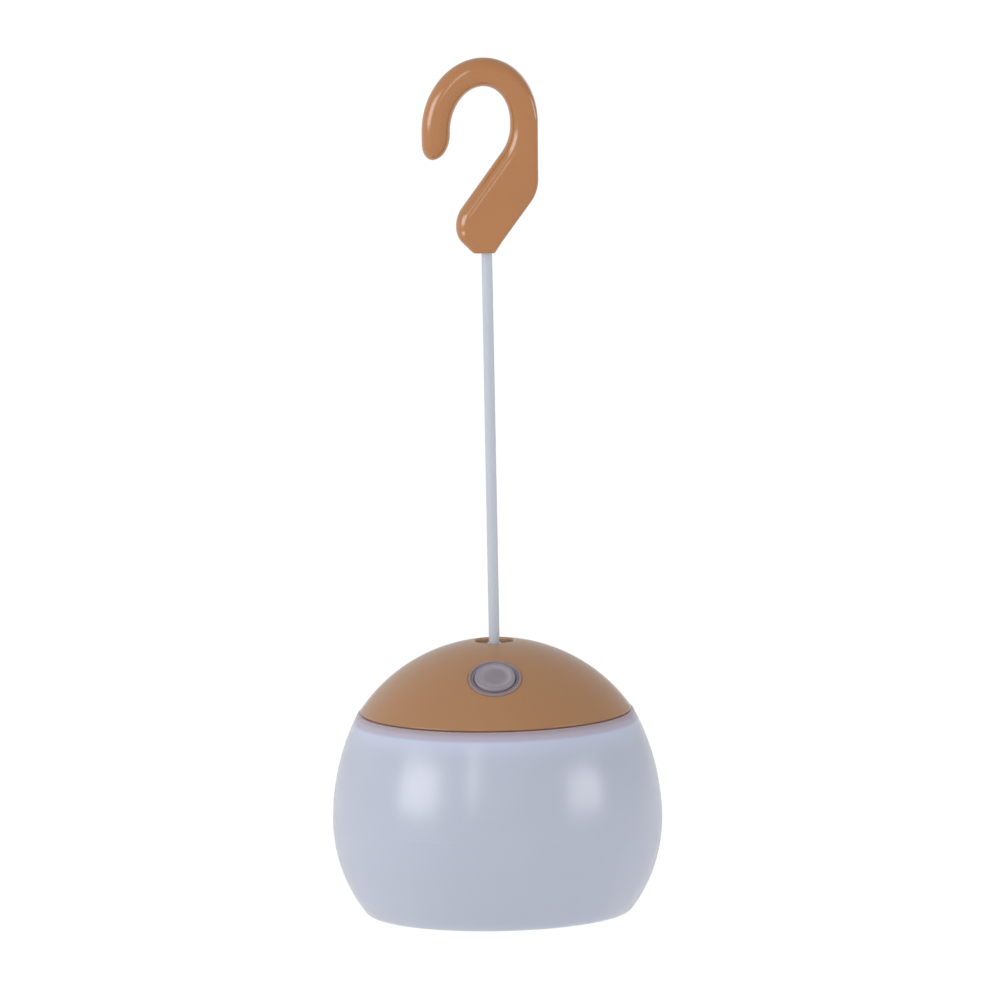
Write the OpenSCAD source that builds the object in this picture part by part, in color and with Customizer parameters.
// Hanging camping lantern: a glossy domed cap over a soft milky globe,
// carried by a straight cord that ends in an open hook.
// Millimetres, +Z up. The origin is the centre of the flat base.
// The push button faces the front (-Y), and the hook opens towards -X.

/* [Globe] */
// Diameter of the globe at its widest
globe_d = 107; // [106:0.5:110]
// Height of the widest point above the base
widest_h = 30.6; // [29.6:0.2:31.6]
// Radius of the wall's curve above the widest point
upper_r = 75.6; // [74.6:0.2:78]
// Radius of the wall's curve below the widest point
lower_r = 48.3; // [47:0.1:49]
// Thickness of the soft wall
globe_wall = 2.0; // [1.4:0.1:2.4]
// Radius of the rounded corner round the base
base_round = 3.0; // [2:0.2:3.6]
// Height of the thick collar at the mouth
collar_h = 6.0; // [4:0.5:7]

/* [Cap] */
// Height of the top of the dome
apex_h = 89.7; // [89.5:0.1:90.2]
// Outer radius of the dome's sphere
dome_r = 53.5; // [53.4:0.1:53.8]
// Height of the seam between cap and globe
seam_h = 66; // [65.8:0.1:66.2]
// Thickness of the dome shell
cap_t = 2.2; // [2:0.1:2.3]
// Radius of the well that the cord leaves from
well_r = 6.3; // [6:0.1:6.6]

/* [Push button] */
// Lean of the button from straight up, towards the front
button_tilt = 32; // [30:0.5:34]
// Radius of the button key
key_r = 6.75; // [6.3:0.05:6.8]
// Outer radius of the soft ring round the key
bezel_r = 8.75; // [8.6:0.05:9]

/* [Cord] */
// Radius of the cord
cord_r = 1.75; // [1.5:0.05:1.8]
// Height of the pin that the cord swings on
pivot_h = 85.5; // [85.3:0.1:85.7]
// Radius of that pin
pin_r = 1.0; // [0.9:0.05:1.05]
// Height of the underside of the hook
hook_base_h = 217; // [180:1:240]

/* [Hook] */
// Thickness of the hook, front to back
hook_t = 9.0; // [8.4:0.2:11]
// Half the outer width of the crook
crook_a = 18.8; // [18.4:0.1:19.6]
// Outer height of the crook above its widest line
crook_b = 22.6; // [22:0.1:24]
// Half the width of the opening
mouth_a = 9.6; // [9:0.1:9.8]
// Height of the opening above the crook's widest line
mouth_b = 13.5; // [13:0.1:14]
// Radius of the rounded edges
edge_r = 2.4; // [1.2:0.1:2.5]

/* [Batteries] */
// Radius of one cell
cell_r = 7.25; // [7:0.05:7.25]
// Length of one cell, nub included
cell_l = 50.5; // [49.5:0.1:50.5]

/* [Running fits] */
// Radial clearance of a turning fit
turn_gap = 0.06; // [0.03:0.01:0.09]
// Radial clearance between the collar and the chassis
collar_gap = 0.1; // [0.05:0.05:0.2]

/* [Hidden] */

brown = [0.69, 0.48, 0.33];
milk = [0.80, 0.83, 0.90];
off_white = [0.92, 0.92, 0.90];
steel = [0.72, 0.73, 0.75];
board_green = [0.10, 0.42, 0.24];
clear_rubber = [0.62, 0.58, 0.63];
dark_grey = [0.25, 0.25, 0.27];
cell_grey = [0.20, 0.22, 0.26];

big_fn = 180;                      // facets of the large turned pieces
past = 1;                          // how far a cutter runs past a face
wide = 70;                         // longer than anything it cuts across

// Chassis, with the battery box below its plate
skirt_r = 42.0;
skirt_t = 1.8;
skirt_h = 7;
plate_t = 1.8;
plate_z = seam_h - plate_t;
box_half_x = 29.3;
box_half_y = 23.4;
box_wall = 1.4;
box_z = 48.8;                      // open lower edge of the battery box
cap_screw_ring = 35.5;             // radius of the circle the cap screws lie on
cap_screw_angle = 52;              // of the first screw, from +X

// Cells and contacts
cell_z = 56.5;                     // height of the cells' axes
cell_pitch = 2 * cell_r + 0.1;
contact_x = 27.4;                  // inner face of the contact plates
contact_t = 0.4;

// Lights, on the underside of the reflector panel
panel_z = 61.6;
panel_t = 0.8;
light_y = 31.5;
light_screw_x = 9.5;
light_board_t = 1.2;
light_board_z = panel_z - light_board_t;
light_lead_x = 11;
light_lead_y = 29;

// Driver board
board_size = [40, 34, 1.2];
board_corner = [-20, -10];
board_inset = 2.5;                 // from the board's edges to its posts
board_z = seam_h + 2;
board_top = board_z + board_size.z;

// Button axis: heights measured out from the dome's centre
dome_z = apex_h - dome_r;
switch_board_z = 41.2;
switch_board_t = 1.2;
switch_z = switch_board_z + switch_board_t;
switch_screw_x = 12.4;
bezel_seat_z = 51.8;

// Cord anchorage
retainer_z = 81.2;
ear_t = 1.6;
anchor_post_z = retainer_z + ear_t;
anchor_screw_x = 14;

// ---- helpers ----

// An upright cylinder with its foot at height z
module column(radius, z, height, facets = 32) {
    translate([0, 0, z]) cylinder(h = height, r = radius, $fn = facets);
}

// A block centred on the Z axis with its foot at height z
module block(size, z) {
    translate([-size.x / 2, -size.y / 2, z]) cube(size);
}

// A ring with a rectangular section
module ring(inner, outer, bottom, top) {
    rotate_extrude($fn = big_fn) translate([inner, bottom]) square([outer - inner, top - bottom]);
}

// A pan-head screw that points up, with its seat at height z
module screw_up(z, head_r, head_h, shank_r, shank_l) {
    translate([0, 0, z]) {
        difference() {
            column(head_r, -head_h, head_h);
            translate([0, 0, -head_h]) for (angle = [0, 90])
                rotate(angle) block([head_r * 1.24, 0.4, past + head_h * 0.5], -past);
        }
        cylinder(h = shank_l, r = shank_r, $fn = 32);
    }
}

// A rod along the axis that the cord swings on, front to back
module pivot_rod(length, radius, facets = 40) {
    translate([0, 0, pivot_h]) rotate([90, 0, 0])
        cylinder(h = length, r = radius, center = true, $fn = facets);
}

module on_both_sides(x) {
    for (side = [-1, 1]) translate([x * side, 0, 0]) children();
}

module at_cap_screws() {
    for (angle = [cap_screw_angle, 180 - cap_screw_angle,
                  180 + cap_screw_angle, 360 - cap_screw_angle])
        translate([cap_screw_ring * cos(angle), cap_screw_ring * sin(angle), 0]) children();
}

module at_board_posts() {
    for (x = [board_inset, board_size.x - board_inset],
         y = [board_inset, board_size.y - board_inset])
        translate([board_corner.x + x, board_corner.y + y, 0]) children();
}

// The front and rear light
module at_lights() {
    for (side = [-1, 1]) translate([0, light_y * side, 0]) children();
}

module at_light_screws() {
    at_lights() on_both_sides(light_screw_x) children();
}

module at_light_leads() {
    for (side = [-1, 1]) translate([light_lead_x, light_lead_y * side, 0]) children();
}

// Everything on the button's axis: z runs outwards from the dome's centre
module on_button_axis() {
    translate([0, 0, dome_z]) rotate([button_tilt, 0, 0]) children();
}

// Points on part of an oval whose b axis leans to +X by lean degrees
function oval(centre, a, b, from, to, steps, lean = 0) =
    [for (i = [0 : steps]) let (t = from + (to - from) * i / steps)
        [centre.x + a * cos(t) * cos(lean) + b * sin(t) * sin(lean),
         centre.y - a * cos(t) * sin(lean) + b * sin(t) * cos(lean)]];

function arc(centre, radius, from, to, steps) = oval(centre, radius, radius, from, to, steps);

// Angle at which a leaning oval reaches its far right
function side_angle(a, b, lean) = atan2(b * sin(lean), a * cos(lean));

// ---- globe ----

widest_r = globe_d / 2;

// Corner round between the flat base and the lower curve
corner_x = widest_r - lower_r
         + sqrt(pow(lower_r - base_round, 2) - pow(widest_h - base_round, 2));
corner_angle = atan2(base_round - widest_h, corner_x - (widest_r - lower_r));
corner_top = base_round + base_round * sin(corner_angle);

// Upper and lower curve, both moved inwards by inset
module globe_outline(inset) {
    bottom = inset > 0 ? inset : corner_top;
    intersection() {
        translate([widest_r - upper_r, widest_h]) circle(r = upper_r - inset, $fn = 360);
        translate([0, widest_h]) square([wide, seam_h - 0.1 - widest_h]);
    }
    intersection() {
        translate([widest_r - lower_r, widest_h]) circle(r = lower_r - inset, $fn = 360);
        translate([0, bottom]) square([wide, widest_h - bottom]);
    }
}

module globe() {
    color(milk) rotate_extrude($fn = big_fn) difference() {
        union() {
            globe_outline(0);
            // joins the two curved halves inside the wall
            translate([widest_r - globe_wall + 0.3, widest_h - 0.5]) square([globe_wall - 0.6, 1]);
            polygon(concat([[0, 0]],
                           arc([corner_x, base_round], base_round, -90, corner_angle, 8),
                           [[corner_x, corner_top + 0.5], [0, corner_top + 0.5]]));
        }
        // the hollow, up to the collar
        intersection() {
            globe_outline(globe_wall);
            translate([0, -past]) square([wide, seam_h - collar_h + past]);
        }
        // the mouth inside the collar
        translate([0, seam_h - collar_h - past])
            square([skirt_r + collar_gap, collar_h + 2 * past]);
    }
}

// ---- cap ----

rim_r = sqrt(dome_r * dome_r - (seam_h - dome_z) * (seam_h - dome_z));
land_r = 39;                       // inner radius of the cap's rim flange
land_t = 2;
core_r = 10;                       // solid crown above the swing pin

module cap_section() {
    difference() {
        intersection() {
            translate([0, dome_z]) circle(r = dome_r, $fn = 360);
            translate([0, seam_h]) square([wide, 40]);
        }
        // the hollow, less the rim flange and the crown
        difference() {
            translate([0, dome_z]) circle(r = dome_r - cap_t, $fn = 360);
            translate([land_r, seam_h - past]) square([20, land_t + past]);
            translate([0, pivot_h]) square([core_r, 10]);
        }
        // the cord well
        translate([-past, 70]) square([well_r + past, 30]);
        // soft lower edge of the rim
        polygon([[rim_r - 0.6, seam_h - 1], [rim_r + 2, seam_h - 1],
                 [rim_r + 2, seam_h + 0.6], [rim_r - 0.3, seam_h + 0.6],
                 [rim_r - 0.6, seam_h]]);
    }
}

// Ends posts inside the shell of a dome centred at height centre_z
module end_in_shell(centre_z) {
    intersection() {
        children();
        translate([0, 0, centre_z]) sphere(r = dome_r - cap_t / 2, $fn = 200);
    }
}

module top_cap() {
    color(brown) difference() {
        union() {
            rotate_extrude($fn = big_fn) cap_section();
            end_in_shell(dome_z) at_cap_screws() column(3.2, seam_h, 40, 40);
            end_in_shell(dome_z) on_both_sides(anchor_screw_x) column(3.0, anchor_post_z, 40, 40);
            on_button_axis() end_in_shell(0)
                on_both_sides(switch_screw_x) column(2.1, switch_z, 12, 40);
        }
        // screw holes
        at_cap_screws() column(1.1, seam_h - past, 6.4);
        on_both_sides(anchor_screw_x) column(0.9, anchor_post_z - 0.8, 4.1);
        on_button_axis() {
            on_both_sides(switch_screw_x) column(0.75, switch_z - 0.4, 5);
            // opening for the key, and the seat of its bezel
            column(key_r + 1.15, 45, 12, 96);
            column(bezel_r + 0.05, bezel_seat_z, 6, 96);
        }
        // groove that holds the upper half of the swing pin
        pivot_rod(17.6, pin_r + 0.02);
    }
}

module seal_ring() {
    color("dimgray") rotate_extrude($fn = big_fn)
        translate([40.6, seam_h - 0.65]) circle(r = 0.62, $fn = 32);
}

// ---- chassis ----

module chassis() {
    post_foot = panel_z + panel_t;
    color(off_white) difference() {
        union() {
            ring(skirt_r - skirt_t, skirt_r, seam_h - skirt_h, seam_h);
            column(skirt_r - 0.5, plate_z, plate_t, big_fn);
            block([2 * box_half_x, 2 * box_half_y, plate_z - box_z + 0.5], box_z);
            at_board_posts() column(2.3, seam_h - 0.5, 2.5, 40);
            at_light_screws() column(2, post_foot, plate_z - post_foot + 0.5, 40);
        }
        // the space for the cells, open below
        block([2 * (box_half_x - box_wall), 2 * (box_half_y - box_wall), plate_z - box_z + past],
              box_z - past);
        // groove for the seal
        ring(39.8, 41.3, seam_h - 1.3, seam_h + past);
        // screw holes
        at_cap_screws() column(1.6, plate_z - past, 4);
        at_board_posts() column(0.8, seam_h - 0.8, 4);
        at_light_screws() column(0.7, panel_z, 3.8);
        // slots for the two solder tags
        for (side = [-1, 1])
            translate([(contact_x + contact_t / 2) * side, -cell_pitch * side, plate_z])
                cube([1.2, 4, 6], center = true);
        // holes for the wires to the two light boards
        at_light_leads() column(1.1, plate_z - past, 4);
    }
}

module chassis_screws() {
    color(steel) at_cap_screws()
        screw_up(plate_z, head_r = 2.6, head_h = 1.6, shank_r = 1.08, shank_l = 7);
}

module reflector_panel() {
    cut_z = panel_z - past;
    color([0.96, 0.96, 0.96]) difference() {
        column(skirt_r - skirt_t - 0.2, panel_z, panel_t, big_fn);
        block([2 * box_half_x + 0.6, 2 * box_half_y + 0.6, 4], cut_z);
        at_cap_screws() column(3.0, cut_z, 4, 40);
        at_light_screws() column(0.9, cut_z, 4);
        at_light_leads() column(0.8, cut_z, 4);
    }
}

module battery_door() {
    door_t = 1.8;
    inset = box_wall + 0.2;
    color(off_white) union() {
        block([2 * box_half_x, 2 * box_half_y, door_t], box_z - door_t);
        // low rim that plugs into the box, hollowed to clear the cells
        difference() {
            block([2 * (box_half_x - inset), 2 * (box_half_y - inset), 0.8], box_z - 0.5);
            for (i = [-1, 0, 1]) translate([0, i * cell_pitch, cell_z]) rotate([0, 90, 0])
                cylinder(h = wide, r = cell_r + 0.25, center = true, $fn = 96);
        }
        // grip ribs and finger tab
        for (i = [0 : 3]) translate([14 + 3 * i, -9, box_z - 2.6]) cube([1.2, 18, 1.2]);
        translate([box_half_x - 0.5, -6, box_z - door_t]) cube([2.7, 12, door_t]);
    }
}

// ---- cells and contacts ----

// One cell along X. direction = 1 puts the nub at +X
module cell(y, direction) {
    color(cell_grey) translate([0, y, cell_z]) rotate([0, 90 * direction, 0]) {
        column(cell_r, -cell_l / 2, cell_l - 1, 96);
        column(2.75, cell_l / 2 - 1.5, 1.5, 40);
    }
}

module cell_front() { cell(-cell_pitch, 1); }
module cell_middle() { cell(0, -1); }
module cell_rear() { cell(cell_pitch, 1); }

// Below, side = 1 is the +X end of the cells and side = -1 the -X end

// A contact part that runs outwards from just beyond a cell's end
module at_cell_end(side, y) {
    translate([side * (cell_l / 2 + 0.05), y, cell_z]) rotate([0, 90 * side, 0]) children();
}

// A flat strip in the plane of the contact plates
module contact_strip(side, y, width, bottom, top) {
    translate([side > 0 ? contact_x : -contact_x - contact_t, y - width / 2, bottom])
        cube([contact_t, width, top - bottom]);
}

contact_w = 11;

module contact_plate(side, y, width = contact_w) {
    contact_strip(side, y, width, cell_z - contact_w / 2, cell_z + contact_w / 2);
}

module contact_bump(side, y) {
    at_cell_end(side, y) cylinder(h = contact_x - cell_l / 2 + 0.1, r = 2.4, $fn = 40);
}

// The solder tag, which rises through the chassis plate
module contact_tag(side, y) {
    contact_strip(side, y, 3, cell_z, seam_h + 1.6);
}

// A plate across two neighbouring cells, with its bump on one of them
module contact_link(side, middle_y, bump_y) {
    union() {
        contact_plate(side, middle_y, cell_pitch + contact_w);
        contact_bump(side, bump_y);
    }
}

module contact_links() {
    color(steel) {
        contact_link(-1, -cell_pitch / 2, 0);
        contact_link(1, cell_pitch / 2, cell_pitch);
    }
}

module positive_tab() {
    color(steel) union() {
        contact_plate(1, -cell_pitch);
        contact_bump(1, -cell_pitch);
        contact_tag(1, -cell_pitch);
    }
}

module negative_tab() {
    color(steel) union() {
        contact_plate(-1, cell_pitch);
        contact_tag(-1, cell_pitch);
    }
}

module contact_spring(side, y) {
    at_cell_end(side, y)
        linear_extrude(height = contact_x - cell_l / 2 - 0.1, twist = 540, slices = 36)
            translate([3.4, 0]) circle(r = 0.34, $fn = 6);
}

module contact_springs() {
    color("silver") {
        contact_spring(-1, -cell_pitch);
        contact_spring(1, 0);
        contact_spring(-1, cell_pitch);
    }
}

// ---- lights ----

chip_w = 5;
chip_t = 0.8;

module led_boards() {
    color("white") at_lights() difference() {
        block([26, 11, light_board_t], light_board_z);
        on_both_sides(light_screw_x) column(0.9, light_board_z - past, 4);
    }
}

module led_chips() {
    color([0.95, 0.85, 0.35]) at_lights()
        block([chip_w, chip_w, chip_t], light_board_z - chip_t);
}

// Half a ball below each board, with a pocket for the chip
module led_lenses() {
    pocket_w = chip_w + 0.4;
    color([0.85, 0.90, 0.95]) at_lights() translate([0, 0, light_board_z]) difference() {
        intersection() {
            sphere(r = 4.6, $fn = 96);
            block([10, 10, 6], -6);
        }
        block([pocket_w, pocket_w, 2], -1);
    }
}

module led_screws() {
    color(steel) at_light_screws()
        screw_up(light_board_z, head_r = 1.5, head_h = 0.9, shank_r = 0.68, shank_l = 4.8);
}

// ---- driver board ----

module circuit_board() {
    color(board_green) difference() {
        translate([board_corner.x, board_corner.y, board_z]) cube(board_size);
        at_board_posts() column(1.0, board_z - past, 4);
    }
}

module board_screws() {
    color(steel) at_board_posts() translate([0, 0, board_top]) mirror([0, 0, 1])
        screw_up(0, head_r = 1.7, head_h = 1.1, shank_r = 0.78, shank_l = 3.8);
}

module driver_chip() {
    color([0.1, 0.1, 0.11]) translate([-9, 1, board_top]) cube([6, 5, 1.6]);
}

module inductor() {
    color(dark_grey) translate([8, 8, board_top]) difference() {
        cylinder(h = 5, r = 4, $fn = 48);
        column(1.5, 3.6, 3);
    }
}

module capacitor() {
    color([0.15, 0.2, 0.4]) translate([-6, 15, board_top]) cylinder(h = 7, r = 3.2, $fn = 48);
}

// ---- wires ----

wire_r = 0.6;
tag_wire_z = seam_h + 1.0;         // where the leads meet the solder tags
pad_wire_z = board_z + 2.0;        // where leads lie on the driver board
riser_x = 22.4;                    // where the battery leads climb
light_wire_z = seam_h + 3.95;

// A straight round rod between two points, lengthened at both ends by extra
module rod(start, end, extra) {
    run = end - start;
    length = norm(run);
    translate(start) rotate([0, acos(run.z / length), atan2(run.y, run.x)])
        column(wire_r, -extra, length + 2 * extra);
}

// A bent wire through a list of points. Its bends are a little fuller with
// beads; without them the straight runs overlap instead
module wire(points, beads = true) {
    for (i = [0 : len(points) - 2])
        rod(points[i], points[i + 1], beads ? 0 : wire_r * 0.6);
    if (beads)
        for (i = [1 : len(points) - 2]) translate(points[i]) sphere(r = wire_r * 1.12, $fn = 48);
}

module battery_leads() {
    color([0.75, 0.1, 0.1])
        wire([[contact_x - 0.1, -cell_pitch, tag_wire_z],
              [riser_x, -cell_pitch, tag_wire_z],
              [riser_x, -cell_pitch, pad_wire_z],
              [riser_x, -3, pad_wire_z],
              [18.4, -3, pad_wire_z]]);
    color([0.1, 0.1, 0.1])
        wire([[-contact_x + 0.1, cell_pitch, tag_wire_z],
              [-riser_x, cell_pitch, tag_wire_z],
              [-riser_x, cell_pitch, pad_wire_z],
              [-18.4, cell_pitch, pad_wire_z]]);
}

module led_leads() {
    start_z = panel_z + 0.05;
    color([0.9, 0.9, 0.9]) {
        wire([[light_lead_x, light_lead_y, start_z],
              [light_lead_x, light_lead_y, light_wire_z],
              [light_lead_x, 22.2, light_wire_z]]);
        wire([[light_lead_x, -light_lead_y, start_z],
              [light_lead_x, -light_lead_y, seam_h + 0.8],
              [9, -13.6, seam_h + 0.9],
              [9, -11.4, pad_wire_z],
              [9, -7.6, pad_wire_z]]);
    }
}

module switch_lead() {
    color([0.95, 0.8, 0.1])
        wire([[-5, -15.3, 75.6], [-5, -11, 74.5], [-5, -6, board_z + 2.1]], beads = false);
}

// ---- button and switch, on the button's own axis ----

bezel_foot_z = 49.3;
bezel_inner_r = key_r + 0.2;
plunger_r = 1.7;

module button_bezel() {
    color(clear_rubber) on_button_axis() rotate_extrude($fn = 96) union() {
        // face and raised outer lip
        translate([bezel_inner_r, bezel_seat_z]) square([bezel_r - bezel_inner_r, 0.5]);
        translate([bezel_r - 0.7, bezel_seat_z]) square([0.7, 1.4]);
        // sleeve and foot flange
        translate([bezel_inner_r, bezel_foot_z]) square([0.9, 2.9]);
        translate([bezel_inner_r, bezel_foot_z]) square([2.3, 0.9]);
    }
}

// Half section of the key: radius, height. A low rim surrounds its flat face
key_profile = [
    [0, 48.4], [key_r + 0.9, 48.4], [key_r + 0.9, 49.2], [key_r, 49.2],
    [key_r, 53.4], [key_r - 0.45, 53.95], [5.35, 54.05], [4.95, 53.8], [0, 53.8]];

module power_button() {
    color(clear_rubber) on_button_axis() union() {
        rotate_extrude($fn = 96) polygon(key_profile);
        // stem that faces the plunger
        column(1.5, 46.8, 2, 40);
    }
}

module switch_plunger() {
    color([0.15, 0.15, 0.15]) on_button_axis() column(plunger_r, 44.6, 2.1, 40);
}

module tact_switch() {
    color(dark_grey) on_button_axis() difference() {
        block([8, 8, 3.4], switch_z);
        column(plunger_r + turn_gap, 43.5, 4, 40);
    }
}

module switch_board() {
    color(board_green) on_button_axis() difference() {
        block([30, 12, switch_board_t], switch_board_z);
        on_both_sides(switch_screw_x) column(0.95, switch_board_z - 1.2, 4);
    }
}

module switch_screws() {
    color(steel) on_button_axis() on_both_sides(switch_screw_x)
        screw_up(switch_board_z, head_r = 1.7, head_h = 1.0, shank_r = 0.73, shank_l = 5.4);
}

// ---- cord anchorage ----

cord_foot_z = pivot_h + 1.5;
cord_top_z = hook_base_h + 11;
cord_bore_r = cord_r + 0.01;
ferrule_z = hook_base_h + 4.1;
ferrule_r = 3.0;

// A cup between two screw ears
module cord_retainer() {
    color(brown) difference() {
        union() {
            column(9.4, retainer_z, pivot_h - retainer_z, 96);
            block([2 * anchor_screw_x, 7, ear_t], retainer_z);
            on_both_sides(anchor_screw_x) column(3.5, retainer_z, ear_t, 48);
        }
        column(well_r, 82.5, 10, 96);
        on_both_sides(anchor_screw_x) column(1.1, retainer_z - 1.2, 4);
        // groove that holds the lower half of the swing pin
        pivot_rod(17.6, pin_r + 0.02);
    }
}

module retainer_screws() {
    color(steel) on_both_sides(anchor_screw_x)
        screw_up(retainer_z, head_r = 1.9, head_h = 1.3, shank_r = 0.88, shank_l = 4.6);
}

module anchor_pin() {
    color(steel) pivot_rod(17.2, pin_r);
}

module cord_eyelet() {
    color("white") difference() {
        union() {
            pivot_rod(6.4, 2.6, 64);
            column(2.3, pivot_h, 2.9, 64);
        }
        pivot_rod(12, pin_r + turn_gap, 48);
        column(cord_bore_r, cord_foot_z, 4, 64);
    }
}

module cord() {
    color("white") column(cord_r, cord_foot_z, cord_top_z - cord_foot_z, 64);
}

// A sleeve, closed on top, over the cord's upper end
module cord_ferrule() {
    color(steel) difference() {
        column(ferrule_r, ferrule_z, 7.8, 64);
        column(cord_bore_r, ferrule_z - past, cord_top_z - ferrule_z + 0.02 + past, 64);
    }
}

// ---- hook ----

crook_lean = 10.6;                 // lean of the crook to the right
plate_lean = 35.6;                 // slope of the lower plate from upright
crook_side = side_angle(crook_a, crook_b, crook_lean);
mouth_side = side_angle(mouth_a, mouth_b, crook_lean);
mouth_centre = [-1.43, 41.23];
crook_line = oval([-1.55, 41.2], crook_a, crook_b, crook_side, 180 + crook_side, 36, crook_lean);
mouth_line = oval(mouth_centre, mouth_a, mouth_b, 180 + mouth_side, mouth_side, 30, crook_lean);

// The rounded tip joins the left ends of the two lines
tip_outer = crook_line[36];
tip_inner = mouth_line[0];
tip_half_w = 3.4;
tip_x = tip_outer.x + tip_half_w;

// Radius of the inner curve below the mouth, on the right
throat_r = 15.5;

// Side outline of the hook, anticlockwise: x, height above its underside
hook_path = concat(
    [[2.3, 0], [3.52, 1.0]],
    arc([4.2, 24.3], 13, -plate_lean, 0, 6),
    crook_line,
    oval([tip_x, 35.8], tip_half_w, 5.2, 180, 270, 8),
    oval([tip_x, tip_inner.y], tip_inner.x - tip_x, tip_inner.y - 30.6, 280, 350, 7),
    mouth_line,
    arc([2 * mouth_centre.x - tip_inner.x - throat_r, 41.8], throat_r, -4, -36, 5),
    arc([0.42, 8.55], 10.3, 144, 180, 5),
    arc([-3.38, 8.2], 6.5, 186, 226, 4),
    [[-4.7, 0.25], [-3.7, 0]]);

// An anticlockwise outline with each point moved inwards by distance
function inset_path(path, distance) = let (count = len(path)) [for (i = [0 : count - 1])
    let (before = path[(i + count - 1) % count],
         here = path[i],
         after = path[(i + 1) % count],
         arriving = (here - before) / norm(here - before),
         leaving = (after - here) / norm(after - here),
         tangent = (arriving + leaving) / norm(arriving + leaving))
    here + distance * [-tangent.y, tangent.x]];

// One moulded half, with its flat joint on y = 0; side = -1 is the front.
// Stacked layers, each narrower and thicker than the last, round its edge
module hook_half(side) {
    steps = 4;
    flat = hook_t / 2 - edge_r;
    color(brown) difference() {
        translate([0, 0, hook_base_h]) rotate([90, 0, 0]) mirror([0, 0, side > 0 ? 1 : 0])
            for (k = [0 : steps]) let (angle = 90 * k / (steps + 0.5))
                linear_extrude(height = flat + edge_r * sin(angle + (k > 0 ? 10 : 8)))
                    polygon(inset_path(hook_path, edge_r * (1 - cos(angle))));
        // cord hole and ferrule pocket
        column(cord_r + 0.2, hook_base_h - past, 8, 48);
        column(ferrule_r + turn_gap, hook_base_h + 4, 8, 64);
    }
}

module hook_front() { hook_half(-1); }
module hook_rear() { hook_half(1); }

top_cap();
seal_ring();
chassis();
chassis_screws();
reflector_panel();
battery_door();
cell_front();
cell_middle();
cell_rear();
contact_links();
positive_tab();
negative_tab();
contact_springs();
led_boards();
led_chips();
led_lenses();
led_screws();
circuit_board();
board_screws();
driver_chip();
inductor();
capacitor();
battery_leads();
led_leads();
switch_lead();
button_bezel();
power_button();
switch_plunger();
tact_switch();
switch_board();
switch_screws();
cord_retainer();
retainer_screws();
anchor_pin();
cord_eyelet();
cord();
cord_ferrule();
hook_front();
hook_rear();
globe();
